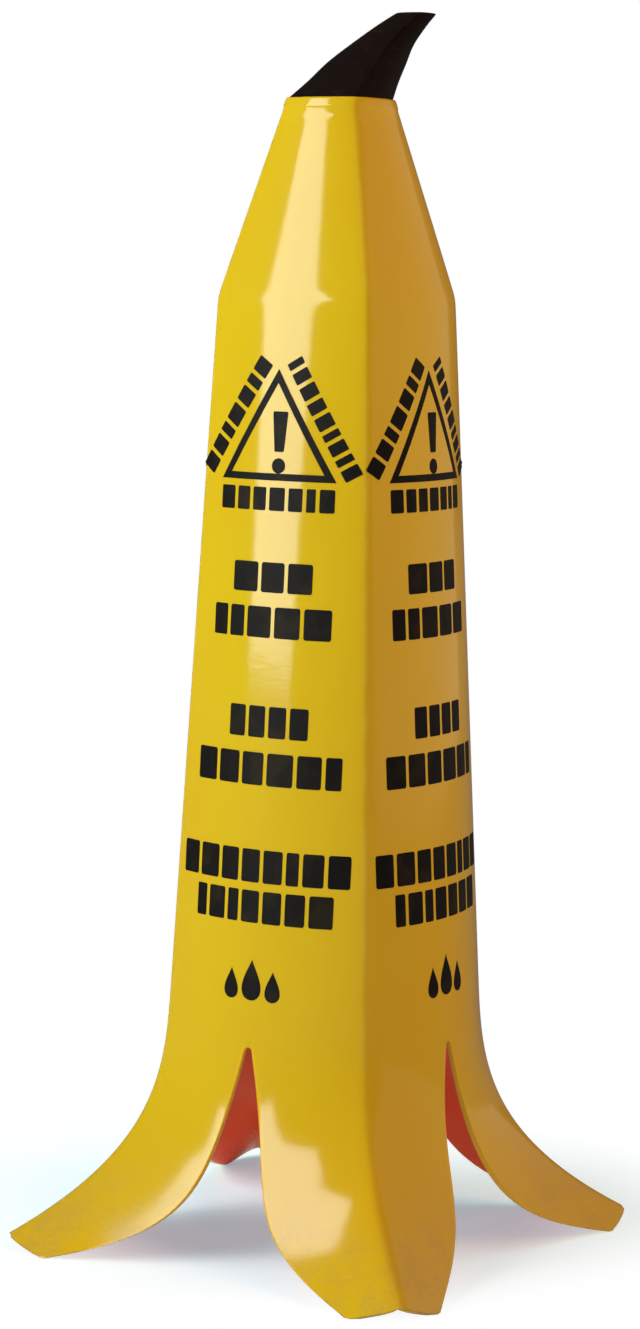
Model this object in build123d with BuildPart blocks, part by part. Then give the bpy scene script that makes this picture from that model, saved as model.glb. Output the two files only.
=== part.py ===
from build123d import *
from math import cos, radians, sin, sqrt
import os

# Wet floor cone in the shape of an upside-down peeled banana.
#
# A hollow four-cornered moulding stands on four peels and carries a curved stem. The stem is keyed into
# the top of the neck and held from inside by one screw and a washer.
#
# Millimetres, +Z up. The origin is on the floor, on the axis of the cone. The four faces look along
# +X, -X, +Y and -Y, the ridges between them lie on the diagonals, and the stem leans to +X +Y.

# Cone shell: heights of its levels, distance of the ridges and of the face middles from the axis.
NECK_Z = 566.0
NECK_RIDGE = 27.4
NECK_FACE = 23.4
CREASE_Z = 470.0
CREASE_RIDGE = 60.4
CREASE_FACE = 50.3
RIDGE_TAPER = 0.0562
FACE_TAPER = 0.0571
WALL = 2.6
WEB = 3.0

# Lip round the top of the neck: a low rounded band.
LIP_HEIGHT = 5.0
LIP_PROUD = 0.5
LIP_BEVEL = 1.3

# Cut end of each peel: its radius on the floor, and how far it leans out for each millimetre up.
END_RADIUS = 149.0
END_LEAN = 2.0

# Flare of the foot below FLARE_Z: how far beyond END_RADIUS the ridges would reach the floor, how far
# short of it the face middles would, and the power that each of them grows with.
FLARE_Z = 132.0
RIDGE_OVERRUN = 31.0
RIDGE_FLARE_POWER = 3.15
FACE_SETBACK = 36.5
FACE_FLARE_POWER = 2.9
FLARE_STEPS = 11

# Slit in the middle of each face, which parts the peels: a round tip, a straight taper and a flare.
# On the floor its half width is END_RADIUS less SLIT_SETBACK.
SLIT_TOP_Z = 108.0
SLIT_TIP_RADIUS = 2.0
SLIT_TAPER = 25.0
SLIT_SETBACK = 62.0
SLIT_FLARE_POWER = 7
SLIT_DEPTHS = (1.0, 0.93, 0.85, 0.74, 0.52, 0.26, 0.0)
SLIT_REACH = 230.0

# Stem: how far its foot is drawn in from the neck's edge, then height above the neck, ridge distance
# and lean of each level above the foot.
STEM_STEP = 1.1
STEM_LEVELS = [
    (8.3, 22.9, 6.0),
    (17.5, 20.0, 12.6),
    (26.8, 15.9, 20.4),
    (36.0, 12.6, 29.8),
    (42.3, 10.3, 37.2),
]
STEM_FACE_SHARE = 0.87
STEM_LEAN_ANGLE = 45.0

# Square key under the stem, in a square hole in the neck's web.
KEY_SIDE = 17.0
KEY_CORNER = 2.0
KEY_CLEARANCE = 0.2

# Screw and washer that hold the stem from inside the neck.
SCREW_SHANK = 4.0
SCREW_LENGTH = 17.0
SCREW_HEAD = 8.6
SCREW_HEAD_HEIGHT = 3.0
SCREW_RECESS = 1.6
SCREW_RECESS_WIDTH = 4.4
SCREW_RECESS_ARM = 1.1
SCREW_CLEARANCE = 0.05
PILOT_SPARE = 1.0
WASHER_OUTER = 32.0
WASHER_BORE = 4.4
WASHER_THICKNESS = 1.2


# Flare of the ridges, the face middles and the slits, from the taper's end to the floor.
ridge_flare = END_RADIUS + RIDGE_OVERRUN - CREASE_RIDGE - RIDGE_TAPER * CREASE_Z
face_flare = END_RADIUS - FACE_SETBACK - CREASE_FACE - FACE_TAPER * CREASE_Z
slit_flare = END_RADIUS - SLIT_SETBACK - SLIT_TIP_RADIUS - SLIT_TAPER


def outline(plane, ridge, face):
    """Four-cornered section: a corner on each diagonal, a bowed side through each face middle."""
    corner = ridge / sqrt(2)
    bow = 2 * face - corner
    with BuildSketch(plane) as section:
        with BuildLine():
            Bezier((corner, -corner), (bow, 0), (corner, corner))
            Bezier((corner, corner), (0, bow), (-corner, corner))
            Bezier((-corner, corner), (-bow, 0), (-corner, -corner))
            Bezier((-corner, -corner), (0, -bow), (corner, -corner))
        make_face()
    return section.sketch


def stack(levels):
    """One section at each level (height, ridge distance, face distance), to loft through."""
    return [outline(Plane.XY.offset(height), ridge, face) for height, ridge, face in levels]


def face_plane(angle):
    """Upright plane through the axis that looks along one face's normal, with its Y axis up."""
    along = (-sin(radians(angle)), cos(radians(angle)), 0)
    normal = (cos(radians(angle)), sin(radians(angle)), 0)
    return Plane(origin=(0, 0, 0), x_dir=along, z_dir=normal)


def slit_point(depth):
    """Point of the slit's edge: its half width and height, from depth 0 at the tip to 1 at the floor."""
    half_width = SLIT_TIP_RADIUS + SLIT_TAPER * depth + slit_flare * depth**SLIT_FLARE_POWER
    return half_width, (SLIT_TOP_Z - SLIT_TIP_RADIUS) * (1 - depth)


def body_level(height):
    """Level of the body's outer surface: a straight taper, and the flare below FLARE_Z."""
    below = CREASE_Z - height
    depth = max(0.0, 1 - height / FLARE_Z)
    ridge = CREASE_RIDGE + RIDGE_TAPER * below + ridge_flare * depth**RIDGE_FLARE_POWER
    face = CREASE_FACE + FACE_TAPER * below + face_flare * depth**FACE_FLARE_POWER
    return height, ridge, face


# Levels of the outer surface.
ridge_slope = (CREASE_RIDGE - NECK_RIDGE) / (NECK_Z - CREASE_Z)
face_slope = (CREASE_FACE - NECK_FACE) / (NECK_Z - CREASE_Z)
lip_ridge = NECK_RIDGE + LIP_HEIGHT * ridge_slope
lip_face = NECK_FACE + LIP_HEIGHT * face_slope
neck_level = (NECK_Z, NECK_RIDGE, NECK_FACE)
lip_levels = [
    neck_level,
    (NECK_Z - LIP_BEVEL, NECK_RIDGE + LIP_PROUD, NECK_FACE + LIP_PROUD),
    (NECK_Z - LIP_HEIGHT + LIP_PROUD, lip_ridge + LIP_PROUD, lip_face + LIP_PROUD),
    (NECK_Z - LIP_HEIGHT, lip_ridge, lip_face),
]
crease_level = body_level(CREASE_Z)
flare_levels = [body_level(FLARE_Z * (1 - step / FLARE_STEPS)) for step in range(FLARE_STEPS + 1)]

# Levels of the hollow. In the foot it is the same surface, drawn in and lowered by the wall.
web_underside = NECK_Z - WEB
hollow_neck = (web_underside, NECK_RIDGE + WEB * ridge_slope - WALL, NECK_FACE + WEB * face_slope - WALL)
hollow_crease = (CREASE_Z, CREASE_RIDGE - WALL, CREASE_FACE - WALL)
hollow_flare = [(height - WALL, ridge - WALL, face - WALL) for height, ridge, face in flare_levels]

with BuildPart() as cone_shell:
    # Upper cone, from the neck down to the crease.
    loft(stack([neck_level, crease_level]), ruled=True)
    # Lip round the neck.
    loft(stack(lip_levels), ruled=True)
    # Straight body, and the flared foot down to the floor.
    loft(stack([crease_level, flare_levels[0]]), ruled=True)
    loft(stack(flare_levels))
    # Hollow, open at the floor and closed by the web at the neck.
    loft(stack([hollow_neck, hollow_crease, hollow_flare[0]]), ruled=True, mode=Mode.SUBTRACT)
    loft(stack(hollow_flare), mode=Mode.SUBTRACT)
    # One slit up the middle of each face.
    for angle in (0, 90, 180, 270):
        with BuildSketch(face_plane(angle)):
            with BuildLine():
                edge = Spline([slit_point(depth) for depth in SLIT_DEPTHS])
                ThreePointArc(edge @ 1, (0, SLIT_TOP_Z), (-SLIT_TIP_RADIUS, (edge @ 1).Y))
                mirror(edge, about=Plane.YZ)
                mouth = (edge @ 0).X
                Polyline((mouth, 0), (mouth, -WALL), (-mouth, -WALL), (-mouth, 0))
            make_face()
        extrude(amount=SLIT_REACH, mode=Mode.SUBTRACT)
    # Ends of the peels, cut by one wide cone that leans out.
    Cone(
        bottom_radius=END_RADIUS,
        top_radius=END_RADIUS + END_LEAN * NECK_Z,
        height=NECK_Z,
        align=(Align.CENTER, Align.CENTER, Align.MIN),
        mode=Mode.INTERSECT,
    )
    # Square hole for the stem's key.
    with BuildSketch(Plane.XY.offset(web_underside)):
        RectangleRounded(KEY_SIDE + 2 * KEY_CLEARANCE, KEY_SIDE + 2 * KEY_CLEARANCE, KEY_CORNER)
    extrude(amount=WEB, mode=Mode.SUBTRACT)
cone_shell.part.label = "cone_shell"

lean = (cos(radians(STEM_LEAN_ANGLE)), sin(radians(STEM_LEAN_ANGLE)))
stem_foot = (0.0, NECK_RIDGE - STEM_STEP, 0.0)
stem_sections = []
for height, ridge, offset in [stem_foot] + STEM_LEVELS:
    centre = (offset * lean[0], offset * lean[1], NECK_Z + height)
    stem_sections.append(outline(Plane(origin=centre), ridge, ridge * STEM_FACE_SHARE))
with BuildPart() as stem:
    loft(stem_sections)
    # Key that drops through the web.
    with BuildSketch(Plane.XY.offset(NECK_Z)):
        RectangleRounded(KEY_SIDE, KEY_SIDE, KEY_CORNER)
    extrude(amount=-(WEB - KEY_CLEARANCE))
    # Pilot bore for the screw.
    with BuildSketch(Plane.XY.offset(web_underside)):
        Circle(SCREW_SHANK / 2 + SCREW_CLEARANCE)
    extrude(amount=SCREW_LENGTH - WASHER_THICKNESS + PILOT_SPARE, mode=Mode.SUBTRACT)
stem.part.label = "stem"

head_top = web_underside - WASHER_THICKNESS
with BuildPart() as stem_washer:
    with BuildSketch(Plane.XY.offset(head_top)):
        Circle(WASHER_OUTER / 2)
        Circle(WASHER_BORE / 2, mode=Mode.SUBTRACT)
    extrude(amount=WASHER_THICKNESS)
stem_washer.part.label = "stem_washer"

with BuildPart() as stem_screw:
    with BuildSketch(Plane.XY.offset(head_top)):
        Circle(SCREW_HEAD / 2)
    extrude(amount=-SCREW_HEAD_HEIGHT)
    fillet(stem_screw.edges().sort_by(Axis.Z)[0], SCREW_HEAD_HEIGHT / 2)
    with BuildSketch(Plane.XY.offset(head_top)):
        Circle(SCREW_SHANK / 2)
    extrude(amount=SCREW_LENGTH)
    chamfer(stem_screw.edges().sort_by(Axis.Z)[-1], SCREW_SHANK / 4)
    # Cross recess in the head.
    with BuildSketch(Plane.XY.offset(head_top - SCREW_HEAD_HEIGHT)):
        Rectangle(SCREW_RECESS_WIDTH, SCREW_RECESS_ARM)
        Rectangle(SCREW_RECESS_ARM, SCREW_RECESS_WIDTH)
    extrude(amount=SCREW_RECESS, mode=Mode.SUBTRACT)
stem_screw.part.label = "stem_screw"

os.makedirs("parts", exist_ok=True)
export_step(cone_shell.part, "parts/cone_shell.step")
export_step(stem.part, "parts/stem.step")
export_step(stem_washer.part, "parts/stem_washer.step")
export_step(stem_screw.part, "parts/stem_screw.step")
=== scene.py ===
from math import cos, radians, sin, sqrt
from random import Random

import bpy
from mathutils import Matrix, Vector


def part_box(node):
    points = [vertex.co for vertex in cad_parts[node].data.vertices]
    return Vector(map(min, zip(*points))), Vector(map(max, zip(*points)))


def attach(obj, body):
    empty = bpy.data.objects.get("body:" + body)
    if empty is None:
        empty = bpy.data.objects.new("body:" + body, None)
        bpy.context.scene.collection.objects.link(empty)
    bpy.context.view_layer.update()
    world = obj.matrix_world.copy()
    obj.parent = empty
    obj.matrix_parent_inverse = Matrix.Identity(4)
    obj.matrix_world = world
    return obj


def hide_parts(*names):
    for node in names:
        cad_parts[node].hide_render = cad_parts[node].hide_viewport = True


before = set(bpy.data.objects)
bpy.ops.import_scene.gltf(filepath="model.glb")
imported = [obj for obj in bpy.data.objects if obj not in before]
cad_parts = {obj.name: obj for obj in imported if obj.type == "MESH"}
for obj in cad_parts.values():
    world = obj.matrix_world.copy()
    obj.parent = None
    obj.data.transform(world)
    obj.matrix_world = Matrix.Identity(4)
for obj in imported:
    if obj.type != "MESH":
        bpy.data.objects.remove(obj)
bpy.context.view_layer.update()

# ---------------------------------------------------------------------------------------------------
# Cone shell: one hollow yellow moulding with four ridges. Its surface follows a rule, so the whole
# shell is one flat strip that a node tree rolls into shape: across the strip runs half a face, from
# its middle to the ridge, and along it the height.
NECK_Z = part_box("cone_shell")[1][2]
NECK_RIDGE = 0.0274
NECK_FACE = 0.0234
CREASE_Z = 0.470
CREASE_RIDGE = 0.0604
CREASE_FACE = 0.0503
CREASE_SOFTNESS = 0.00035
CREASE_BAND = 0.006
RIDGE_TAPER = 0.0562
FACE_TAPER = 0.0571
END_RADIUS = 0.149
END_LEAN = 2.0
FLARE_Z = 0.132
RIDGE_OVERRUN = 0.0310
RIDGE_FLARE = END_RADIUS + RIDGE_OVERRUN - CREASE_RIDGE - RIDGE_TAPER * CREASE_Z
RIDGE_FLARE_POWER = 3.15
FACE_SETBACK = 0.0365
FACE_FLARE = END_RADIUS - FACE_SETBACK - CREASE_FACE - FACE_TAPER * CREASE_Z
FACE_FLARE_POWER = 2.9
RIDGE_SOFTNESS = 0.0015
FOOT_SOFTNESS = 0.0030
CURL_Z = 0.060
SHELL_EDGE = 0.0005
SHARP_ANGLE = radians(50)
WELD = 0.00002
WALL = 0.0026
WEB = 0.003
LIP_HEIGHT = 0.005
LIP_PROUD = 0.0005
SLIT_STRAIGHT_Z = 0.106
SLIT_TIP_RADIUS = 0.002
SLIT_TAPER = 0.025
SLIT_SETBACK = 0.062
SLIT_FLARE = END_RADIUS - SLIT_SETBACK - SLIT_TIP_RADIUS - SLIT_TAPER
SLIT_FLARE_POWER = 7.0
KEY_HOLE_RIDGE = 0.0115


# Node trees are written as Python expressions on wires: a wire is an output socket of a tree.
class Wire:
    """An output socket. Arithmetic on it adds Math nodes to its tree."""

    def __init__(self, tree, socket):
        self.tree = tree
        self.socket = socket

    def out(self, name):
        """Another output of the same node."""
        return Wire(self.tree, self.socket.node.outputs[name])

    def math(self, operation, first, second):
        return node(self.tree, "ShaderNodeMath", {"operation": operation}, {0: first, 1: second})

    def __add__(self, other):
        return self.math("ADD", self, other)

    def __radd__(self, other):
        return self.math("ADD", other, self)

    def __sub__(self, other):
        return self.math("SUBTRACT", self, other)

    def __rsub__(self, other):
        return self.math("SUBTRACT", other, self)

    def __mul__(self, other):
        return self.math("MULTIPLY", self, other)

    def __rmul__(self, other):
        return self.math("MULTIPLY", other, self)

    def __truediv__(self, other):
        return self.math("DIVIDE", self, other)

    def __rtruediv__(self, other):
        return self.math("DIVIDE", other, self)

    def __pow__(self, other):
        return self.math("POWER", self, other)

    def clamped(self):
        return at_most(at_least(self, 0.0), 1.0)


def node(tree, kind, settings=None, inputs=None, output=0):
    """Adds one node: its settings first, then a value or a wire for each named socket."""
    made = tree.nodes.new(kind)
    for name, value in (settings or {}).items():
        setattr(made, name, value)
    for name, value in (inputs or {}).items():
        if isinstance(value, Wire):
            tree.links.new(value.socket, made.inputs[name])
        else:
            made.inputs[name].default_value = value
    return Wire(tree, made.outputs[output]) if len(made.outputs) else None


def at_least(value, limit):
    return value.math("MAXIMUM", value, limit) if isinstance(value, Wire) else max(value, limit)


def at_most(value, limit):
    return value.math("MINIMUM", value, limit) if isinstance(value, Wire) else min(value, limit)


def step_between(value, low, high):
    """0 below low, 1 above high, and a smooth step between them."""
    share = ((value - low) / (high - low)).clamped()
    return share * share * (3.0 - 2.0 * share)


def depth_below(height, top):
    """Share of the way down from top to the floor, and 0 above top."""
    return at_least(1.0 - height / top, 0.0)


def shell_distance(height, inset, neck, crease, taper, flare, power):
    """Distance from the axis of a ridge or a face middle: cone, crease, tapered body and flare."""
    slope = (crease - neck) / (NECK_Z - CREASE_Z)
    cone = neck + slope * (NECK_Z - height)
    body = crease + taper * (CREASE_Z - height)
    creased = (cone + body) * 0.5 - ((cone - body) * (cone - body) * 0.25 + CREASE_SOFTNESS**2) ** 0.5
    flared = flare * depth_below(height + inset * WALL, FLARE_Z) ** power
    across_lip = (height - NECK_Z + LIP_HEIGHT / 2) / (LIP_HEIGHT / 2)
    lip = LIP_PROUD * at_least(1.0 - across_lip * across_lip * across_lip * across_lip, 0.0) ** 0.5
    return creased + flared + lip * (1.0 - inset) - inset * WALL


def ridge_distance(height, inset):
    args = (NECK_RIDGE, CREASE_RIDGE, RIDGE_TAPER, RIDGE_FLARE, RIDGE_FLARE_POWER)
    return shell_distance(height, inset, *args)


def face_distance(height, inset):
    args = (NECK_FACE, CREASE_FACE, FACE_TAPER, FACE_FLARE, FACE_FLARE_POWER)
    return shell_distance(height, inset, *args)


def slit_half_width(height):
    """Half the slit's width: a round tip, a straight taper and a flare at the floor."""
    above = at_least(height - SLIT_STRAIGHT_Z, 0.0) / SLIT_TIP_RADIUS
    depth = depth_below(height, SLIT_STRAIGHT_Z)
    tip = SLIT_TIP_RADIUS * at_least(1.0 - above * above, 0.0) ** 0.5
    return tip + SLIT_TAPER * depth + SLIT_FLARE * depth**SLIT_FLARE_POWER


def ridge_end(inset):
    """Height at which the ridge runs out into the cut end of a peel."""
    low, high = 0.0, FLARE_Z
    for _ in range(40):
        middle = (low + high) / 2
        if ridge_distance(middle, inset) > END_RADIUS + END_LEAN * middle:
            low = middle
        else:
            high = middle
    return high


def spread(start, end, count):
    """count heights after start, evenly up to and with end."""
    return [start + (end - start) * step / count for step in range(1, count + 1)]


slit_top = SLIT_STRAIGHT_Z + SLIT_TIP_RADIUS
PEEL_TIP_ROWS = 6
SLIT_TIP_ROWS = 5
WEB_STEPS = (0.08, 0.4, 1.0)


def rows(inset):
    """Heights of the strip's rows, the same number on the outside and on the inside."""
    end = ridge_end(inset)
    top = NECK_Z - inset * WEB
    heights = [0.0] + spread(0.0, end, PEEL_TIP_ROWS) + spread(end, CURL_Z, 22)
    heights += spread(CURL_Z, SLIT_STRAIGHT_Z, 14)
    for turn in spread(0, 90, SLIT_TIP_ROWS):
        heights.append(SLIT_STRAIGHT_Z + SLIT_TIP_RADIUS * sin(radians(turn)))
    heights += spread(slit_top, FLARE_Z, 6) + spread(FLARE_Z, CREASE_Z - CREASE_BAND, 24)
    heights += spread(CREASE_Z - CREASE_BAND, CREASE_Z + CREASE_BAND, 10)
    heights += spread(CREASE_Z + CREASE_BAND, top - LIP_HEIGHT, 12)
    heights += spread(top - LIP_HEIGHT, top, 12)
    return heights


# The strip's long way runs up the outside, over the web to the hole for the stem's key, and down the
# inside. Its short way goes from the slit, or from the middle of the face, to the ridge.
outer_rows = rows(0)
inner_rows = rows(1)
slit_row = outer_rows.index(slit_top)
hole_outer = 1.0 - KEY_HOLE_RIDGE / ridge_distance(NECK_Z, 0)
hole_inner = 1.0 - KEY_HOLE_RIDGE / ridge_distance(NECK_Z - WEB, 1)
loop = [(height, 0.0, 0.0) for height in outer_rows]
loop += [(NECK_Z, 0.0, hole_outer * share) for share in WEB_STEPS]
loop += [(NECK_Z - WEB, 1.0, hole_inner * share) for share in reversed(WEB_STEPS[1:])]
loop += [(height, 1.0, 0.0) for height in reversed(inner_rows)]
columns = [0.0, 0.03, 0.08, 0.15, 0.24, 0.34, 0.44, 0.54, 0.63, 0.71, 0.78, 0.84, 0.885, 0.92]
columns += [0.945, 0.963, 0.976, 0.985, 0.992, 0.996, 1.0]

strip_mesh = bpy.data.meshes.new("shell_strip")
loop_size = len(loop)
last = len(columns) - 1
points = [(share, height, inset) for share in columns for height, inset, _ in loop]
faces = []
for column in range(last):
    for row in range(loop_size):
        near, far = column * loop_size, (column + 1) * loop_size
        up = (row + 1) % loop_size
        faces.append((near + row, far + row, far + up, near + up))
for row in range(slit_row):
    inner = loop_size - 1 - row
    faces.append((row, row + 1, inner - 1, inner))
for row in range(PEEL_TIP_ROWS):
    side = last * loop_size
    inner = side + loop_size - 1 - row
    faces.append((inner, inner - 1, side + row + 1, side + row))
strip_mesh.from_pydata(points, [], faces)
drawn = strip_mesh.attributes.new("draw_in", "FLOAT", "POINT")
for index in range(len(points)):
    drawn.data[index].value = loop[index % loop_size][2]
strip = bpy.data.objects.new("cone_shell_skin", strip_mesh)
bpy.context.collection.objects.link(strip)


def new_geometry_tree(name):
    """An empty geometry tree with one geometry in and one out."""
    tree = bpy.data.node_groups.new(name, "GeometryNodeTree")
    tree.interface.new_socket("Geometry", in_out="INPUT", socket_type="NodeSocketGeometry")
    tree.interface.new_socket("Geometry", in_out="OUTPUT", socket_type="NodeSocketGeometry")
    return tree


def tree_input(tree, name, kind, value=None):
    """A named input of a geometry tree."""
    socket = tree.interface.new_socket(name, in_out="INPUT", socket_type=kind)
    if value is not None:
        socket.default_value = value
    return socket.identifier


def stored(tree, name):
    """A number stored on the points of the geometry."""
    return node(tree, "GeometryNodeInputNamedAttribute", {"data_type": "FLOAT"}, {"Name": name})


def with_number(tree, geometry, name, value):
    """The geometry with a number stored on its points."""
    settings = {"data_type": "FLOAT", "domain": "POINT"}
    values = {"Geometry": geometry, "Name": name, "Value": value}
    return node(tree, "GeometryNodeStoreNamedAttribute", settings, values)


def both(tree, first, second):
    """Two geometries as one."""
    join = node(tree, "GeometryNodeJoinGeometry")
    for part in (first, second):
        tree.links.new(part.socket, join.socket.node.inputs[0])
    return join


def on_four_sides(tree, side):
    """The geometry of one side four times, a quarter turn apart about the axis."""
    spots = node(tree, "GeometryNodeMeshLine", {}, {"Count": 4, "Offset": (0.0, 0.0, 0.0)})
    turn = node(tree, "GeometryNodeInputIndex") * radians(90)
    turn = node(tree, "ShaderNodeCombineXYZ", {}, {"Z": turn})
    values = {"Points": spots, "Instance": side, "Rotation": turn}
    around = node(tree, "GeometryNodeInstanceOnPoints", {}, values)
    return node(tree, "GeometryNodeRealizeInstances", {}, {"Geometry": around})


def finish_tree(tree, geometry, material):
    """Gives the geometry its material and sends it out of the tree."""
    values = {"Geometry": geometry, "Material": material}
    painted = node(tree, "GeometryNodeSetMaterial", {}, values)
    node(tree, "NodeGroupOutput", {}, {"Geometry": painted})


def bake_to_mesh(source):
    """Turns an object with modifiers into a plain mesh without them."""
    evaluated = source.evaluated_get(bpy.context.evaluated_depsgraph_get())
    mesh = bpy.data.meshes.new_from_object(evaluated)
    mesh.name = source.name
    source.modifiers.clear()
    old = source.data
    source.data = mesh
    bpy.data.meshes.remove(old)


shell_plastic = bpy.data.materials.new("shell_plastic")
tree = new_geometry_tree("roll_up_shell")
softness_id = tree_input(tree, "Ridge Softness", "NodeSocketFloat", RIDGE_SOFTNESS)
radius_id = tree_input(tree, "End Radius", "NodeSocketFloat", END_RADIUS)
material_id = tree_input(tree, "Material", "NodeSocketMaterial")
given = node(tree, "NodeGroupInput")
flat = node(tree, "ShaderNodeSeparateXYZ", {}, {0: node(tree, "GeometryNodeInputPosition")})
share, height, inset = flat, flat.out("Y"), flat.out("Z")
foot_depth = depth_below(height, FLARE_Z)
softness = given.out("Ridge Softness") + FOOT_SOFTNESS * foot_depth * foot_depth
# A side of the section runs through (face + bow * along * along, corner * along), with along 0 in its
# middle and 1 at the ridge. It meets the cut end's circle where a quadratic in along * along is zero.
corner = ridge_distance(height, inset) / sqrt(2)
face = face_distance(height, inset)
bow = corner - face
slit_share = slit_half_width(height) / corner
wide = 2.0 * face * bow + corner * corner
end_radius = given.out("End Radius") + END_LEAN * height
room = at_least(end_radius * end_radius - face * face, 0.0)
cut_share = (2.0 * room / (wide + (wide * wide + 4.0 * bow * bow * room) ** 0.5)) ** 0.5
ridge_share = at_most(cut_share, 1.0)
along = slit_share + (ridge_share - slit_share) * share
out = face + bow * along * along
side = corner * along
# Two sides would meet in a sharp ridge, which softness rounds off.
from_ridge = (out - side) / sqrt(2)
steepness = (3.0 * corner - 2.0 * face) / (2.0 * face - corner)
rounded = steepness * ((from_ridge * from_ridge + softness * softness) ** 0.5 - from_ridge)
radial = (out + side) / sqrt(2) - rounded
keep = 1.0 - stored(tree, "draw_in")
rolled = {
    "X": keep * (radial + from_ridge) / sqrt(2),
    "Y": keep * (radial - from_ridge) / sqrt(2),
    "Z": height,
}
place = node(tree, "ShaderNodeCombineXYZ", {}, rolled)
half = with_number(tree, given, "inside", inset)
half = with_number(tree, half, "from_ridge", from_ridge)
half = with_number(tree, half, "from_slit", side - slit_half_width(height))
half = node(tree, "GeometryNodeSetPosition", {}, {"Geometry": half, "Position": place})
other = node(tree, "GeometryNodeTransform", {}, {"Geometry": half, "Scale": (1.0, -1.0, 1.0)})
other = node(tree, "GeometryNodeFlipFaces", {}, {"Mesh": other})
whole = on_four_sides(tree, both(tree, half, other))
whole = node(tree, "GeometryNodeMergeByDistance", {}, {"Geometry": whole, "Distance": WELD})
whole = node(tree, "GeometryNodeSetShadeSmooth", {}, {0: whole})
finish_tree(tree, whole, given.out("Material"))
roll = strip.modifiers.new("roll_up", "NODES")
roll.node_group = tree
roll[softness_id] = RIDGE_SOFTNESS
roll[radius_id] = END_RADIUS
roll[material_id] = shell_plastic
soften = strip.modifiers.new("soften_edges", "BEVEL")
soften.width = SHELL_EDGE
soften.segments = 2
soften.limit_method = "ANGLE"
soften.angle_limit = SHARP_ANGLE
soften.use_clamp_overlap = False
bake_to_mesh(strip)
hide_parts("cone_shell")
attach(strip, "root")

# Glossy yellow plastic outside. The moulding has a fine grain and is slightly cloudy, rubbed pale
# along the ridges and dusty at the foot. Painted shade: towards the foot the yellow is painted darker
# and more
# orange. Painted highlight: a lighter orange band is painted along the edges of the slits. Painted
# light:
# the inside is painted deep orange-red, the colour of light bounced about inside the yellow hollow.
YELLOW = (0.650, 0.470, 0.0085)
# Deeper yellow: cloudy tone at random, and painted shade towards the foot.
YELLOW_DEEP_AND_SHADE = (0.640, 0.400, 0.0080)
YELLOW_RUBBED = (0.700, 0.520, 0.040)
# Painted highlight along the slit edges.
PAINTED_SLIT_HIGHLIGHT = (0.760, 0.440, 0.014)
# Painted light: the inside's deep orange-red stands in for light bounced about inside the hollow.
INSIDE_PAINTED_BOUNCE_RED = (0.950, 0.105, 0.008)
INSIDE_PAINTED_BOUNCE_DEEP = (0.900, 0.078, 0.006)
DUST = (0.300, 0.235, 0.110)
SHELL_ROUGHNESS = 0.10
RUBBED_WIDTH = 0.0022
RUBBED_FROM_Z = (0.05, 0.16)
SLIT_HIGHLIGHT_WIDTH = 0.0026
# Painted shade darkens the yellow below this height.
SHADE_PAINTED_BELOW_Z = 0.34
SCUFFED_BELOW_Z = 0.12
DUSTY_BELOW_Z = 0.050


def noise(tree, place, scale, detail=2.0, stretch=None):
    """Soft noise from 0 to 1 about 0.5, in object space, drawn out along the axes by stretch."""
    if stretch is not None:
        place = node(tree, "ShaderNodeMapping", {}, {"Vector": place, "Scale": stretch})
    values = {"Vector": place, "Scale": scale, "Detail": detail}
    return node(tree, "ShaderNodeTexNoise", {}, values, output="Fac")


def mixed(tree, factor, first, second):
    """Two colours mixed by a factor. A colour is a triple or a wire."""
    first, second = (c if isinstance(c, Wire) else (*c, 1.0) for c in (first, second))
    values = {0: factor, 6: first, 7: second}
    return node(tree, "ShaderNodeMix", {"data_type": "RGBA"}, values, output=2)


def number(tree, name):
    """A number stored on the mesh."""
    return node(tree, "ShaderNodeAttribute", {"attribute_name": name}, output="Fac")


def start_material(material):
    """Clears a material's tree and returns it with its object coordinates."""
    material.use_nodes = True
    tree = material.node_tree
    tree.nodes.clear()
    return tree, node(tree, "ShaderNodeTexCoord", output="Object")


def show(tree, surface):
    """Sends a surface out of a material's tree."""
    node(tree, "ShaderNodeOutputMaterial", {}, {"Surface": surface})


def finish_material(tree, colour, roughness, grain, strength, depth, other):
    """A surface with its colour, roughness and grain, and with other sockets of its own."""
    values = {"Strength": strength, "Distance": depth, "Height": grain}
    bumpy = node(tree, "ShaderNodeBump", {}, values)
    values = {"Base Color": colour, "Roughness": roughness, "Normal": bumpy, **other}
    show(tree, node(tree, "ShaderNodeBsdfPrincipled", {}, values))


tree, place = start_material(shell_plastic)
up = node(tree, "ShaderNodeSeparateXYZ", {}, {0: place}).out("Z")
clouds = noise(tree, place, 9.0, 3.0)
streaks = noise(tree, place, 26.0, 2.0, (1.0, 1.0, 0.12))
patches = noise(tree, place, 42.0, 4.0)
speckle = noise(tree, place, 700.0, 3.0)
scuffs = noise(tree, place, 60.0, 6.0, (1.0, 1.0, 5.0))

inside = step_between(number(tree, "inside"), 0.9, 1.0)
deepening = step_between(clouds * 0.65 + streaks * 0.35, 0.34, 0.68)
# Painted shade: darker and more orange towards the foot.
painted_low_shade = step_between(SHADE_PAINTED_BELOW_Z - up, 0.0, 0.30)
paint = mixed(tree, deepening * 0.45 + painted_low_shade * 0.45, YELLOW, YELLOW_DEEP_AND_SHADE)
ridge_wear = step_between(RUBBED_WIDTH - number(tree, "from_ridge"), 0.0, 0.0018)
ridge_wear = ridge_wear * step_between(patches, 0.40, 0.62) * step_between(up, *RUBBED_FROM_Z) * 0.5
paint = mixed(tree, ridge_wear, paint, YELLOW_RUBBED)
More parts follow.
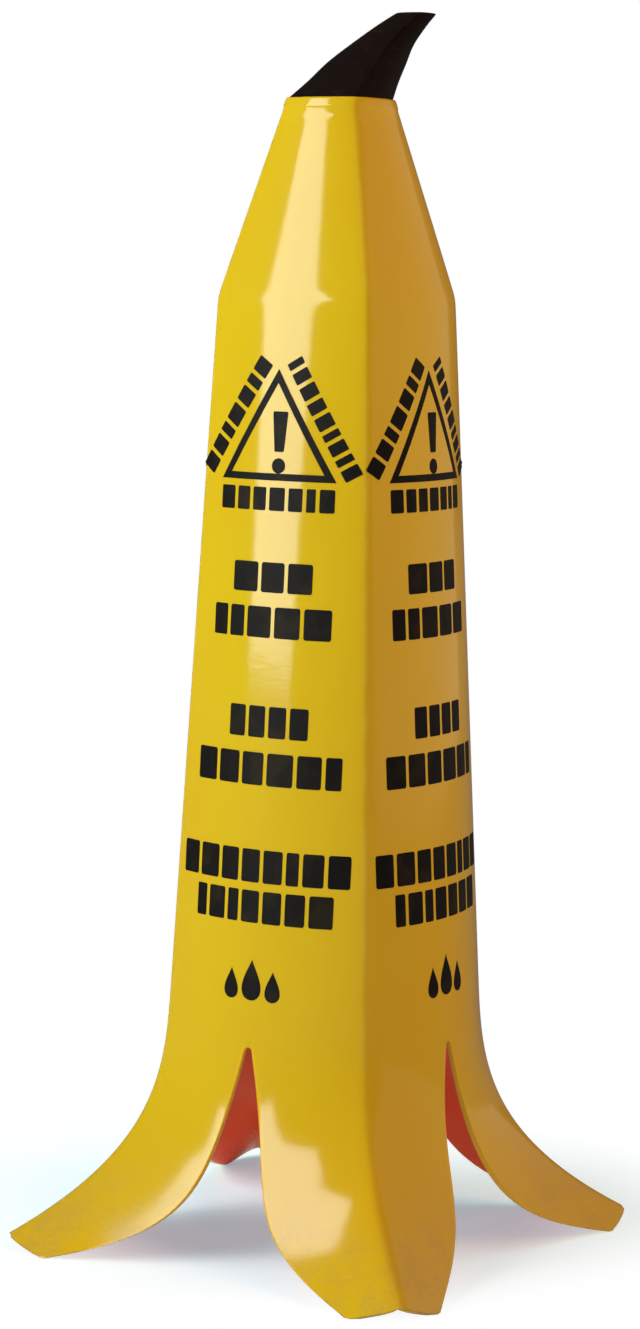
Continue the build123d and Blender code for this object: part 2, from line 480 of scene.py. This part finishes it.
# Painted highlight: a lighter orange band along the slit edges, where the rim catches the light.
near_slit = step_between(SLIT_HIGHLIGHT_WIDTH - number(tree, "from_slit"), 0.0, 0.0020)
below_slit = step_between(slit_top + 0.002 - up, 0.0, 0.004)
painted_slit_highlight = near_slit * below_slit * (0.55 + 0.45 * step_between(patches, 0.35, 0.60))
paint = mixed(tree, painted_slit_highlight * 0.75, paint, PAINTED_SLIT_HIGHLIGHT)
low_scuffs = step_between(SCUFFED_BELOW_Z - up, 0.0, 0.10)
rubs = step_between(scuffs, 0.66, 0.74) * (0.10 + 0.25 * low_scuffs)
paint = mixed(tree, rubs, paint, YELLOW_RUBBED)
low = step_between(DUSTY_BELOW_Z - up, 0.0, 0.048)
dust = low * step_between(patches * 0.6 + speckle * 0.4, 0.40, 0.62) * 0.30
paint = mixed(tree, dust, paint, DUST)
# Painted light: the inside is painted deep orange-red for light bounced about in the yellow hollow.
red = mixed(tree, step_between(clouds, 0.35, 0.65), INSIDE_PAINTED_BOUNCE_RED, INSIDE_PAINTED_BOUNCE_DEEP)
paint = mixed(tree, inside, paint, red)

roughness = SHELL_ROUGHNESS + 0.05 * (clouds - 0.5) + 0.05 * (speckle - 0.5) + 0.20 * rubs
roughness = (roughness + 0.25 * dust + 0.10 * ridge_wear + 0.12 * inside).clamped()
grain = speckle * 0.6 + noise(tree, place, 190.0, 2.0) * 0.8 + rubs * 0.5
finish_material(tree, paint, roughness, grain, 0.18, 0.00016, {"Specular IOR Level": 0.45})

# ---------------------------------------------------------------------------------------------------
# Printed warning: black ink, screen-printed on all four faces. It shows a plain warning triangle, rows
# of solid blocks where words would stand, and three drops. Each mark is a thin slab laid on the face.
INK_PROUD = 0.00014
INK_SUNK = 0.00006
INK_STROKE = 0.0034
BLOCK_GAP = 0.0021
BLOCK_CORNER = 0.09
BLOCK_WIDTHS = (0.62, 1.0, 1.0, 1.15)
SLAB_STEP = 0.0030
ROUND_POINTS = 24
TRIANGLE_STEPS = 20


def slab(outline):
    """A closed slab: a ring of points (across, up) on two levels, filled about their middle."""
    count = len(outline)
    hub = (sum(p[0] for p in outline) / count, sum(p[1] for p in outline) / count)
    points = [(*p, level) for level in (0.0, 1.0) for p in [*outline, hub]]
    faces = []
    for index in range(count):
        after = (index + 1) % count
        faces.append((after, index, count))
        faces.append((count + 1 + index, count + 1 + after, 2 * count + 1))
        faces.append((index, after, count + 1 + after, count + 1 + index))
    return points, faces


def frame_slab(outer, inner):
    """A closed slab between two rings with the same number of points."""
    count = len(outer)
    points = [(*p, level) for level in (0.0, 1.0) for p in [*outer, *inner]]
    faces = []
    for index in range(count):
        after = (index + 1) % count
        low = [index, after, count + after, count + index]
        high = [2 * count + corner for corner in low]
        faces.append(tuple(reversed(low)))
        faces.append(tuple(high))
        faces.append((low[0], low[1], high[1], high[0]))
        faces.append((low[2], low[3], high[3], high[2]))
    return points, faces


def rounded(corners, radius, step=SLAB_STEP):
    """A polygon with rounded corners, anticlockwise, its sides divided so that they can bend."""
    outline = []
    count = len(corners)
    arcs = []
    for index in range(count):
        corner = Vector(corners[index])
        before = (Vector(corners[index - 1]) - corner).normalized()
        after = (Vector(corners[(index + 1) % count]) - corner).normalized()
        half = before.angle(after) / 2
        middle = corner + (before + after).normalized() * (radius / sin(half))
        start = corner + before * (radius / sin(half) * cos(half)) - middle
        sweep = radians(180) - 2 * half
        turns = [sweep * share for share in (0, 0.25, 0.5, 0.75, 1)]
        arcs.append([middle + Matrix.Rotation(turn, 2) @ start for turn in turns])
    for index in range(count):
        outline += arcs[index]
        here, there = arcs[index][-1], arcs[(index + 1) % count][0]
        pieces = max(1, round((there - here).length / step))
        outline += [here.lerp(there, part / pieces) for part in range(1, pieces)]
    return [tuple(point) for point in outline]


def square(side):
    """The corners of a square about the origin, anticlockwise."""
    half = side / 2
    return [(-half, -half), (half, -half), (half, half), (-half, half)]


def circle(middle, radius):
    """Points on a circle."""
    turns = [radians(360) * index / ROUND_POINTS for index in range(ROUND_POINTS)]
    return [(middle[0] + radius * cos(turn), middle[1] + radius * sin(turn)) for turn in turns]


def drop(across, up, wide, tall):
    """A water drop: a round belly that runs up into a point."""
    outline = []
    for index in range(ROUND_POINTS):
        turn = radians(360) * index / ROUND_POINTS
        taper = sin(turn / 2) ** 1.5
        outline.append((across - wide / 2 * sin(turn) * taper, up + tall / 2 * cos(turn)))
    return outline


TRIANGLE_TOP = 0.4356
TRIANGLE_BASE = 0.3823
TRIANGLE_HALF = 0.0324
side_angle = Vector((TRIANGLE_HALF, TRIANGLE_TOP - TRIANGLE_BASE)).normalized()
inner_base = TRIANGLE_BASE + INK_STROKE
inner_half = TRIANGLE_HALF - INK_STROKE * (1 + side_angle.x) / side_angle.y
inner_top = TRIANGLE_TOP - INK_STROKE / side_angle.x
outer_triangle = [(-TRIANGLE_HALF, TRIANGLE_BASE), (TRIANGLE_HALF, TRIANGLE_BASE), (0.0, TRIANGLE_TOP)]
inner_triangle = [(-inner_half, inner_base), (inner_half, inner_base), (0.0, inner_top)]


def evened(outline, count):
    """The outline with count points between each pair of corners, at even shares of the way."""
    points = []
    for index in range(len(outline)):
        here, there = Vector(outline[index]), Vector(outline[(index + 1) % len(outline)])
        points += [tuple(here.lerp(there, part / count)) for part in range(count)]
    return points


MARK_BAR = [(-0.0006, 0.3961), (0.0046, 0.3961), (0.0062, 0.4154), (-0.0022, 0.4154)]
MARK_BAR_CORNER = 0.0008
MARK_DOT = (0.0020, 0.3894)
MARK_DOT_RADIUS = 0.0037
DROP_BASE = 0.1310
DROP_SHAPE = 0.78
DROPS = ((-0.0118, 0.0150), (0.0, 0.0200), (0.0118, 0.0150))
triangle = [evened(outline, TRIANGLE_STEPS) for outline in (outer_triangle, inner_triangle)]
marks = [frame_slab(*triangle)]
marks.append(slab(rounded(MARK_BAR, MARK_BAR_CORNER, 2 * SLAB_STEP)))
marks.append(slab(circle(MARK_DOT, MARK_DOT_RADIUS)))
for across, tall in DROPS:
    marks.append(slab(drop(across, DROP_BASE + tall / 2, tall * DROP_SHAPE, tall)))

# Rows of blocks: middle, lean, length, height of the row and number of blocks.
ROWS = [
    ((-0.0249, 0.4130), 56.6, 0.0640, 0.0088, 7),
    ((0.0245, 0.4124), -59.6, 0.0640, 0.0088, 9),
    ((0.0, 0.3734), 0.0, 0.0640, 0.0112, 7),
    ((0.0006, 0.3358), 0.0, 0.0445, 0.0145, 3),
    ((0.0, 0.3142), 0.0, 0.0664, 0.0150, 5),
    ((0.0020, 0.2662), 0.0, 0.0440, 0.0152, 4),
    ((0.0008, 0.2434), 0.0, 0.0810, 0.0158, 6),
    ((0.0, 0.1964), 0.0, 0.0950, 0.0160, 8),
    ((0.0018, 0.1766), 0.0, 0.0770, 0.0156, 7),
]
blocks = []
rhythm = Random(5)
for middle, lean, length, tall, count in ROWS:
    widths = [rhythm.choice(BLOCK_WIDTHS) for _ in range(count)]
    spare = length - BLOCK_GAP * (count - 1)
    turn = radians(lean)
    at = -length / 2
    for share in widths:
        wide = spare * share / sum(widths)
        reach = at + wide / 2
        spot = (middle[0] + reach * cos(turn), middle[1] + reach * sin(turn), 0.0)
        blocks.append((spot, wide, tall, turn))
        at += wide + BLOCK_GAP


def mesh_object(name, points, faces=()):
    """A new mesh object, linked to the scene."""
    mesh = bpy.data.meshes.new(name)
    mesh.from_pydata(points, [], faces)
    made = bpy.data.objects.new(name, mesh)
    bpy.context.collection.objects.link(made)
    return made


def joined(slabs):
    """The points and faces of several slabs as one list of each."""
    points, faces = [], []
    for some_points, some_faces in slabs:
        faces += [tuple(len(points) + corner for corner in face) for face in some_faces]
        points += some_points
    return points, faces


print_marks = mesh_object("printed_warning", *joined(marks))
block_spots = mesh_object("block_spots", [spot for spot, _, _, _ in blocks])
for name, item in (("wide", 1), ("tall", 2), ("turn", 3)):
    values = block_spots.data.attributes.new(name, "FLOAT", "POINT")
    for index, block in enumerate(blocks):
        values.data[index].value = block[item]
unit_block = mesh_object("unit_block", *slab(rounded(square(1.0), BLOCK_CORNER, 0.5)))

print_ink = bpy.data.materials.new("print_ink")
tree = new_geometry_tree("lay_print_on_faces")
proud_id = tree_input(tree, "Ink Proud", "NodeSocketFloat", INK_PROUD)
sunk_id = tree_input(tree, "Ink Sunk", "NodeSocketFloat", INK_SUNK)
spots_id = tree_input(tree, "Block Spots", "NodeSocketObject")
block_id = tree_input(tree, "Block", "NodeSocketObject")
ink_id = tree_input(tree, "Material", "NodeSocketMaterial")
given = node(tree, "NodeGroupInput")
spots, block = (
    node(tree, "GeometryNodeObjectInfo", {}, {"Object": given.out(name)}, output="Geometry")
    for name in ("Block Spots", "Block")
)
block_size = {"X": stored(tree, "wide"), "Y": stored(tree, "tall"), "Z": 1.0}
block_size = node(tree, "ShaderNodeCombineXYZ", {}, block_size)
turned = node(tree, "ShaderNodeCombineXYZ", {}, {"Z": stored(tree, "turn")})
values = {"Points": spots, "Instance": block, "Rotation": turned, "Scale": block_size}
row_blocks = node(tree, "GeometryNodeInstanceOnPoints", {}, values)
row_blocks = node(tree, "GeometryNodeRealizeInstances", {}, {"Geometry": row_blocks})
sheet = both(tree, given, row_blocks)
flat = node(tree, "ShaderNodeSeparateXYZ", {}, {0: node(tree, "GeometryNodeInputPosition")})
across, height, level = flat, flat.out("Y"), flat.out("Z")
corner = ridge_distance(height, 0.0) / sqrt(2)
face = face_distance(height, 0.0)
share = across / corner
lift = level * (given.out("Ink Proud") + given.out("Ink Sunk")) - given.out("Ink Sunk")
out = face + (corner - face) * share * share + lift
place = node(tree, "ShaderNodeCombineXYZ", {}, {"X": out, "Y": across, "Z": height})
sheet = node(tree, "GeometryNodeSetPosition", {}, {"Geometry": sheet, "Position": place})
finish_tree(tree, on_four_sides(tree, sheet), given.out("Material"))
lay = print_marks.modifiers.new("lay_on_faces", "NODES")
lay.node_group = tree
lay[proud_id] = INK_PROUD
lay[sunk_id] = INK_SUNK
lay[spots_id] = block_spots
lay[block_id] = unit_block
lay[ink_id] = print_ink
bake_to_mesh(print_marks)
for helper in (block_spots, unit_block):
    bpy.data.objects.remove(helper)
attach(print_marks, "root")

# Dense black ink with a slightly uneven coat and a few pinholes.
INK = (0.0065, 0.0058, 0.0045)
INK_THIN = (0.030, 0.022, 0.006)
tree, place = start_material(print_ink)
coat = noise(tree, place, 55.0, 4.0)
pinholes = step_between(noise(tree, place, 1100.0, 2.0), 0.70, 0.76)
thin = (step_between(coat, 0.48, 0.70) * 0.45 + pinholes * 0.55).clamped()
colour = mixed(tree, thin, INK, INK_THIN)
roughness = 0.50 + 0.14 * (coat - 0.5) + 0.20 * pinholes
grain = noise(tree, place, 800.0, 2.0)
finish_material(tree, colour, roughness, grain, 0.15, 0.0001, {"Specular IOR Level": 0.12})

# ---------------------------------------------------------------------------------------------------
# Stem: one satin black moulding with four rounded corners, keyed into the neck. It sweeps to one side
# as it narrows, and its top is cut off level. Its levels are height, ridge distance and lean.
STEM_LEVELS = [
    (0.0, 0.0263, 0.0),
    (0.0083, 0.0229, 0.0060),
    (0.0175, 0.0200, 0.0126),
    (0.0268, 0.0159, 0.0204),
    (0.0360, 0.0126, 0.0298),
    (0.0423, 0.0103, 0.0372),
]
STEM_FACE_SHARE = 0.87
STEM_LEAN_ANGLE = radians(45)
STEM_EDGE = 0.0007
STEM_CORNER = 0.0011
KEY_SIDE = 0.017
KEY_CORNER = 0.002
KEY_DEPTH = 0.0028
STEM_RINGS = 26
STEM_SIDE_POINTS = 15


def smooth_level(levels, height, item):
    """A value between the levels, on a curve that runs smoothly through all of them."""
    index = max(i for i in range(len(levels) - 1) if levels[i][0] <= height or i == 0)
    slopes = []
    for i in (index, index + 1):
        before, after = levels[max(i - 1, 0)], levels[min(i + 1, len(levels) - 1)]
        slopes.append((after[item] - before[item]) / (after[0] - before[0]))
    low, high = levels[index], levels[index + 1]
    gap = high[0] - low[0]
    t = (height - low[0]) / gap
    start = low[item] * (1 + 2 * t) * (1 - t) ** 2 + slopes[0] * gap * t * (1 - t) ** 2
    end = high[item] * t * t * (3 - 2 * t) + slopes[1] * gap * t * t * (t - 1)
    return start + end


def stem_ring(height, draw_in=0.0):
    """One ring of the stem: four bowed sides whose corners are rounded."""
    ridge = smooth_level(STEM_LEVELS, height, 1) - draw_in
    offset = smooth_level(STEM_LEVELS, height, 2)
    side_face = ridge * STEM_FACE_SHARE
    corner = ridge / sqrt(2)
    ring = []
    for quarter in range(4):
        for index in range(STEM_SIDE_POINTS):
            share = sin(radians(90) * (2 * index / STEM_SIDE_POINTS - 1))
            out = side_face + (corner - side_face) * share * share
            from_corner = corner * (1 - abs(share))
            out -= 0.5 * ((from_corner**2 + STEM_CORNER**2) ** 0.5 - from_corner)
            ring.append(Matrix.Rotation(radians(90) * quarter, 2) @ Vector((out, corner * share)))
    lean = Vector((cos(STEM_LEAN_ANGLE), sin(STEM_LEAN_ANGLE))) * offset
    return [(*(point + lean), NECK_Z + height) for point in ring]


stem_top = STEM_LEVELS[-1][0]
edge_step = STEM_EDGE * 0.3
stem_rings = [stem_ring(0.0, STEM_EDGE), stem_ring(0.0, edge_step), stem_ring(edge_step)]
stem_rings += [stem_ring(height) for height in spread(edge_step, stem_top - STEM_EDGE, STEM_RINGS)]
stem_rings += [stem_ring(stem_top - edge_step, edge_step), stem_ring(stem_top, STEM_EDGE)]
ring_size = len(stem_rings[0])
stem_points = [point for ring in stem_rings for point in ring]
stem_faces = [tuple(reversed(range(ring_size)))]
for ring in range(len(stem_rings) - 1):
    for index in range(ring_size):
        after = (index + 1) % ring_size
        low = ring * ring_size
        stem_faces.append((low + index, low + after, low + ring_size + after, low + ring_size + index))
last_ring = (len(stem_rings) - 1) * ring_size
stem_faces.append(tuple(last_ring + index for index in range(ring_size)))
key_points, key_faces = slab(rounded(square(KEY_SIDE), KEY_CORNER))
key_points = [(across, up, NECK_Z - KEY_DEPTH * (1 - level)) for across, up, level in key_points]
stem_skin = mesh_object("stem_skin", *joined([(stem_points, stem_faces), (key_points, key_faces)]))
for polygon in stem_skin.data.polygons:
    polygon.use_smooth = True
stem_plastic = bpy.data.materials.new("stem_plastic")
stem_skin.data.materials.append(stem_plastic)
weighted = stem_skin.modifiers.new("weigh_normals", "WEIGHTED_NORMAL")
weighted.keep_sharp = True
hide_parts("stem")
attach(stem_skin, "root")

# Satin black plastic with a warm cast, a fine spark-eroded grain and paler rubbed patches.
STEM_BLACK = (0.0085, 0.0052, 0.0042)
STEM_RUBBED = (0.018, 0.013, 0.011)
tree, place = start_material(stem_plastic)
clouds = noise(tree, place, 30.0, 3.0)
speckle = noise(tree, place, 1300.0, 2.0)
scuffs = noise(tree, place, 120.0, 5.0, (1.0, 1.0, 3.0))
worn = step_between(scuffs, 0.58, 0.72) * 0.55 + step_between(clouds, 0.45, 0.75) * 0.20
colour = mixed(tree, worn.clamped(), STEM_BLACK, STEM_RUBBED)
roughness = (0.46 + 0.14 * (clouds - 0.5) + 0.16 * (speckle - 0.5)).clamped()
grain = speckle + scuffs * 0.4
finish_material(tree, colour, roughness, grain, 0.30, 0.00012, {"Specular IOR Level": 0.04})

# ---------------------------------------------------------------------------------------------------
# Fixing: a zinc-plated screw, driven up from inside the neck into the stem, and the plain washer under
# its head. Both show only from below.
STEEL = (0.56, 0.57, 0.56)
STEEL_YELLOWED = (0.52, 0.47, 0.33)
fixing_steel = bpy.data.materials.new("fixing_steel")
tree, place = start_material(fixing_steel)
tarnish = step_between(noise(tree, place, 140.0, 4.0), 0.42, 0.68)
turning = noise(tree, place, 900.0, 2.0, (1.0, 1.0, 0.2))
colour = mixed(tree, tarnish, STEEL, STEEL_YELLOWED)
roughness = (0.28 + 0.22 * tarnish + 0.12 * (turning - 0.5)).clamped()
finish_material(tree, colour, roughness, turning, 0.2, 0.00005, {"Metallic": 1.0})
for name in ("stem_washer", "stem_screw"):
    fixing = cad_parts[name]
    for material_slot in fixing.material_slots:
        material_slot.material = fixing_steel

# ---------------------------------------------------------------------------------------------------
# Floor: a matt board that glows a little, so that its shadows stay pale, and that fades to plain white
# away from the sign. It glows less in the sign's gloss, and a little less as a light.
FLOOR_SIDE = 16.0
FLOOR_GLOW = 0.33
FLOOR_FADE = (0.10, 0.23)
FLOOR_CENTRE = (-0.031, 0.051)
FLOOR_BOARD = (0.95, 0.97, 0.98, 1.0)
FLOOR_TINT = (0.44, 1.0, 1.16, 1.0)
FULL_WHITE = (1.0, 1.0, 1.0, 1.0)
MIRRORED_GLOW = 0.15
BOUNCED_GLOW = 0.90
floor = mesh_object("floor", [(*corner, 0.0) for corner in square(FLOOR_SIDE)], [(0, 1, 2, 3)])
floor_paint = bpy.data.materials.new("floor_paint")
tree, place = start_material(floor_paint)
flat = node(tree, "ShaderNodeSeparateXYZ", {}, {0: place})
aside, behind = flat - FLOOR_CENTRE[0], flat.out("Y") - FLOOR_CENTRE[1]
away = (aside * aside + behind * behind) ** 0.5
fade = step_between(away, *FLOOR_FADE)
seen = node(tree, "ShaderNodeLightPath", output="Is Camera Ray")
mirrored, bounced = seen.out("Is Glossy Ray"), seen.out("Is Diffuse Ray")
glow = seen + MIRRORED_GLOW * mirrored + BOUNCED_GLOW * bounced
matt = node(
    tree,
    "ShaderNodeBsdfPrincipled",
    {},
    {
        "Base Color": FLOOR_BOARD,
        "Roughness": 0.9,
        "Specular IOR Level": 0.1,
        "Emission Color": FLOOR_TINT,
        "Emission Strength": FLOOR_GLOW * glow,
    },
)
white = node(tree, "ShaderNodeEmission", {}, {"Color": FULL_WHITE, "Strength": glow})
mixed_floor = node(tree, "ShaderNodeMixShader", {}, {0: fade, 1: matt, 2: white})
show(tree, mixed_floor)
floor.data.materials.append(floor_paint)

# Surroundings: white where they are seen, and dim as a light.
SKY_LIGHT = 0.08
world = bpy.data.worlds.new("studio")
bpy.context.scene.world = world
world.use_nodes = True
tree = world.node_tree
tree.nodes.clear()
seen = node(tree, "ShaderNodeLightPath", output="Is Camera Ray")
dim = node(tree, "ShaderNodeBackground", {}, {"Color": FULL_WHITE, "Strength": SKY_LIGHT})
bright = node(tree, "ShaderNodeBackground", {}, {"Color": FULL_WHITE, "Strength": 1.0})
backdrop = node(tree, "ShaderNodeMixShader", {}, {0: seen, 1: dim, 2: bright})
node(tree, "ShaderNodeOutputWorld", {}, {"Surface": backdrop})
bpy.context.scene.view_settings.view_transform = "Standard"

# Studio lights: one big shaped panel, and five softboxes.
WHITE = (1.0, 1.0, 1.0)
AMBER = (1.0, 0.38, 0.14)
CREAM = (1.0, 0.80, 0.62)
PALE_CREAM = (1.0, 0.82, 0.66)


def softbox(name, azimuth, distance, low, high, width, radiance, colour=WHITE, mirrored=True):
    """An upright rectangular light that faces the sign. Gloss can be kept from mirroring it."""
    data = bpy.data.lights.new(name, "AREA")
    data.shape = "RECTANGLE"
    data.size = width
    data.size_y = high - low
    data.energy = radiance * radians(180) * width * (high - low)
    data.color = colour
    light = bpy.data.objects.new(name, data)
    bpy.context.collection.objects.link(light)
    direction = Vector((sin(azimuth), -cos(azimuth), 0.0))
    light.location = direction * distance + Vector((0.0, 0.0, (low + high) / 2))
    light.rotation_euler = direction.to_track_quat("Z", "Y").to_euler()
    light.visible_glossy = mirrored
    return light


def aim_at_foot(light):
    """Turns a light to face the middle of the sign's foot."""
    light.rotation_euler = light.location.to_track_quat("Z", "Y").to_euler()


# The panel's outline is given as (across, up) in its own upright plane.
PANEL_AZIMUTH = radians(-30)
PANEL_DISTANCE = 2.0
PANEL_RADIANCE = 6.7
PANEL_OUTLINE = [
    (-0.42, 0.26),
    (0.44, 0.26),
    (0.50, 0.66),
    (0.84, 1.02),
    (0.66, 1.36),
    (0.44, 1.54),
    (0.42, 1.70),
    (0.36, 2.38),
    (-0.56, 2.38),
    (-0.53, 1.60),
    (-0.52, 0.80),
    (-0.42, 0.60),
]
panel_across = Vector((cos(PANEL_AZIMUTH), sin(PANEL_AZIMUTH), 0.0))
panel_foot = Vector((sin(PANEL_AZIMUTH), -cos(PANEL_AZIMUTH), 0.0)) * PANEL_DISTANCE
panel_corners = [
    panel_foot + panel_across * across + Vector((0.0, 0.0, up)) for across, up in PANEL_OUTLINE
]
panel = mesh_object("key_panel", panel_corners, [tuple(range(len(panel_corners)))])
panel_glow = bpy.data.materials.new("key_glow")
tree, place = start_material(panel_glow)
values = {"Color": FULL_WHITE, "Strength": PANEL_RADIANCE}
show(tree, node(tree, "ShaderNodeEmission", {}, values))
panel.data.materials.append(panel_glow)
panel.visible_camera = False

# Each softbox: azimuth, distance, heights of its lower and upper edge, width, radiance and colour.
softbox("left_fill", radians(-50), 2.4, 0.8, 2.4, 1.6, 3.4, mirrored=False)
softbox("warm_fill", radians(92), 1.6, 0.6, 2.0, 1.2, 3.0, AMBER, mirrored=False)
softbox("edge_softbox", radians(138), 2.2, 0.02, 1.80, 3.1, 0.42, CREAM)
top = softbox("top_softbox", radians(120), 0.6, 1.6, 2.8, 1.4, 1.2, PALE_CREAM, mirrored=False)
aim_at_foot(top)
back = softbox("floor_softbox", radians(180), 1.2, 2.4, 3.6, 1.6, 1.6, mirrored=False)
aim_at_foot(back)

# ---------------------------------------------------------------------------------------------------
# Camera. It stands level with the upper body, a little to one side of the front ridge, and looks
# slightly down, with its top leaning a degree.
CAMERA_AZIMUTH = radians(31.6)
CAMERA_DISTANCE = 1.757
CAMERA_HEIGHT = 0.486
CAMERA_LENS = 96.6
CAMERA_SENSOR = 36.0
AIM_HEIGHT = 0.2886
AIM_SIDE = -0.0057
CAMERA_ROLL = radians(0.96)

right_of_view = Vector((cos(CAMERA_AZIMUTH), sin(CAMERA_AZIMUTH), 0.0))
towards_camera = Vector((sin(CAMERA_AZIMUTH), -cos(CAMERA_AZIMUTH), 0.0))
camera_data = bpy.data.cameras.new("view_camera")
camera_data.sensor_fit = "VERTICAL"
camera_data.sensor_height = CAMERA_SENSOR
camera_data.lens = CAMERA_LENS
camera_data.clip_end = 50.0
camera = bpy.data.objects.new("view_camera", camera_data)
bpy.context.collection.objects.link(camera)
bpy.context.scene.camera = camera
camera.location = towards_camera * CAMERA_DISTANCE + Vector((0.0, 0.0, CAMERA_HEIGHT))
aim = right_of_view * AIM_SIDE + Vector((0.0, 0.0, AIM_HEIGHT))
view = (aim - camera.location).normalized()
level = view.to_track_quat("-Z", "Y").to_matrix()
camera.rotation_euler = (level @ Matrix.Rotation(CAMERA_ROLL, 3, "Z")).to_euler()
